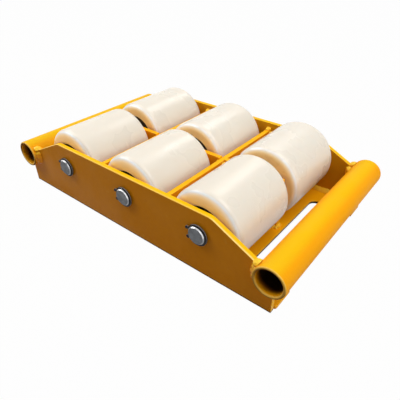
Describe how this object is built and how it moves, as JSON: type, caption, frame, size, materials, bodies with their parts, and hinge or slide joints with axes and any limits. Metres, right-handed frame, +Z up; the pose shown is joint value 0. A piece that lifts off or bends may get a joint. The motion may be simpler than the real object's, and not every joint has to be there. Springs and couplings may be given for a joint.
{
  "type": "machine skate",
  "caption": "Low welded steel skate for moving machines, with nylon rollers on fixed axles between two side plates and an open handle tube across each end.",
  "frame": {"origin": "under the middle of the load plate, on its load face, with the skate lying rollers up", "axes": "+X along the travel towards the front handle, +Y along the axles to the left, +Z up from the load face to the rollers"},
  "size_m": [0.4046, 0.235, 0.093],
  "materials": {
    "frame_paint": "satin yellow paint",
    "axle_steel": "turned",
    "ring_steel": "black phosphate",
    "roller_nylon": "turned cast nylon",
    "bearing_steel": "ground",
    "ball_steel": "polished",
    "seal_rubber": "matt",
    "cage_nylon": "moulded",
    "spacer_steel": "turned"
  },
  "bodies": {
    "frame": {"load_plate": "frame_paint", "side_plate_left": "frame_paint", "side_plate_right": "frame_paint", "centre_plate": "frame_paint", "cross_plate_front": "frame_paint", "cross_plate_rear": "frame_paint", "handle_tube_front": "frame_paint", "handle_tube_rear": "frame_paint", "side_plate_welds": "frame_paint", "centre_plate_welds": "frame_paint", "cross_plate_welds": "frame_paint", "handle_welds": "frame_paint", "axle_front": "axle_steel", "bearing_inner_rings_front": "bearing_steel", "bearing_spacers_front": "spacer_steel", "end_spacers_front": "spacer_steel", "axle_middle": "axle_steel", "bearing_inner_rings_middle": "bearing_steel", "bearing_spacers_middle": "spacer_steel", "end_spacers_middle": "spacer_steel", "axle_rear": "axle_steel", "bearing_inner_rings_rear": "bearing_steel", "bearing_spacers_rear": "spacer_steel", "end_spacers_rear": "spacer_steel", "axle_retaining_rings": "ring_steel"},
    "roller_front_left": {"roller_front_left": "roller_nylon", "bearing_outer_rings_front_left": "bearing_steel", "bearing_seals_front_left": "seal_rubber"},
    "ball_sets_front_left": {"bearing_cages_front_left": "cage_nylon", "bearing_balls_front_left": "ball_steel"},
    "roller_front_right": {"roller_front_right": "roller_nylon", "bearing_outer_rings_front_right": "bearing_steel", "bearing_seals_front_right": "seal_rubber"},
    "ball_sets_front_right": {"bearing_cages_front_right": "cage_nylon", "bearing_balls_front_right": "ball_steel"},
    "roller_middle_left": {"roller_middle_left": "roller_nylon", "bearing_outer_rings_middle_left": "bearing_steel", "bearing_seals_middle_left": "seal_rubber"},
    "ball_sets_middle_left": {"bearing_cages_middle_left": "cage_nylon", "bearing_balls_middle_left": "ball_steel"},
    "roller_middle_right": {"roller_middle_right": "roller_nylon", "bearing_outer_rings_middle_right": "bearing_steel", "bearing_seals_middle_right": "seal_rubber"},
    "ball_sets_middle_right": {"bearing_cages_middle_right": "cage_nylon", "bearing_balls_middle_right": "ball_steel"},
    "roller_rear_left": {"roller_rear_left": "roller_nylon", "bearing_outer_rings_rear_left": "bearing_steel", "bearing_seals_rear_left": "seal_rubber"},
    "ball_sets_rear_left": {"bearing_cages_rear_left": "cage_nylon", "bearing_balls_rear_left": "ball_steel"},
    "roller_rear_right": {"roller_rear_right": "roller_nylon", "bearing_outer_rings_rear_right": "bearing_steel", "bearing_seals_rear_right": "seal_rubber"},
    "ball_sets_rear_right": {"bearing_cages_rear_right": "cage_nylon", "bearing_balls_rear_right": "ball_steel"}
  },
  "joints": [
    {"name": "roller_front_left_spin", "type": "hinge", "parent": "frame", "child": "roller_front_left", "pos_m": [0.1035, 0.05513, 0.05], "axis": [0, 1, 0], "continuous": true},
    {"name": "ball_sets_front_left_spin", "type": "hinge", "parent": "frame", "child": "ball_sets_front_left", "pos_m": [0.1035, 0.05513, 0.05], "axis": [0, 1, 0], "continuous": true},
    {"name": "roller_front_right_spin", "type": "hinge", "parent": "frame", "child": "roller_front_right", "pos_m": [0.1035, -0.05513, 0.05], "axis": [0, 1, 0], "continuous": true},
    {"name": "ball_sets_front_right_spin", "type": "hinge", "parent": "frame", "child": "ball_sets_front_right", "pos_m": [0.1035, -0.05513, 0.05], "axis": [0, 1, 0], "continuous": true},
    {"name": "roller_middle_left_spin", "type": "hinge", "parent": "frame", "child": "roller_middle_left", "pos_m": [0, 0.05513, 0.05], "axis": [0, 1, 0], "continuous": true},
    {"name": "ball_sets_middle_left_spin", "type": "hinge", "parent": "frame", "child": "ball_sets_middle_left", "pos_m": [0, 0.05513, 0.05], "axis": [0, 1, 0], "continuous": true},
    {"name": "roller_middle_right_spin", "type": "hinge", "parent": "frame", "child": "roller_middle_right", "pos_m": [0, -0.05513, 0.05], "axis": [0, 1, 0], "continuous": true},
    {"name": "ball_sets_middle_right_spin", "type": "hinge", "parent": "frame", "child": "ball_sets_middle_right", "pos_m": [0, -0.05513, 0.05], "axis": [0, 1, 0], "continuous": true},
    {"name": "roller_rear_left_spin", "type": "hinge", "parent": "frame", "child": "roller_rear_left", "pos_m": [-0.1035, 0.05513, 0.05], "axis": [0, 1, 0], "continuous": true},
    {"name": "ball_sets_rear_left_spin", "type": "hinge", "parent": "frame", "child": "ball_sets_rear_left", "pos_m": [-0.1035, 0.05513, 0.05], "axis": [0, 1, 0], "continuous": true},
    {"name": "roller_rear_right_spin", "type": "hinge", "parent": "frame", "child": "roller_rear_right", "pos_m": [-0.1035, -0.05513, 0.05], "axis": [0, 1, 0], "continuous": true},
    {"name": "ball_sets_rear_right_spin", "type": "hinge", "parent": "frame", "child": "ball_sets_rear_right", "pos_m": [-0.1035, -0.05513, 0.05], "axis": [0, 1, 0], "continuous": true}
  ],
  "couplings": [
    {"joint": "ball_sets_front_left_spin", "follows": "roller_front_left_spin", "ratio": 0.6323},
    {"joint": "ball_sets_front_right_spin", "follows": "roller_front_right_spin", "ratio": 0.6323},
    {"joint": "ball_sets_middle_left_spin", "follows": "roller_middle_left_spin", "ratio": 0.6323},
    {"joint": "ball_sets_middle_right_spin", "follows": "roller_middle_right_spin", "ratio": 0.6323},
    {"joint": "ball_sets_rear_left_spin", "follows": "roller_rear_left_spin", "ratio": 0.6323},
    {"joint": "ball_sets_rear_right_spin", "follows": "roller_rear_right_spin", "ratio": 0.6323}
  ]
}
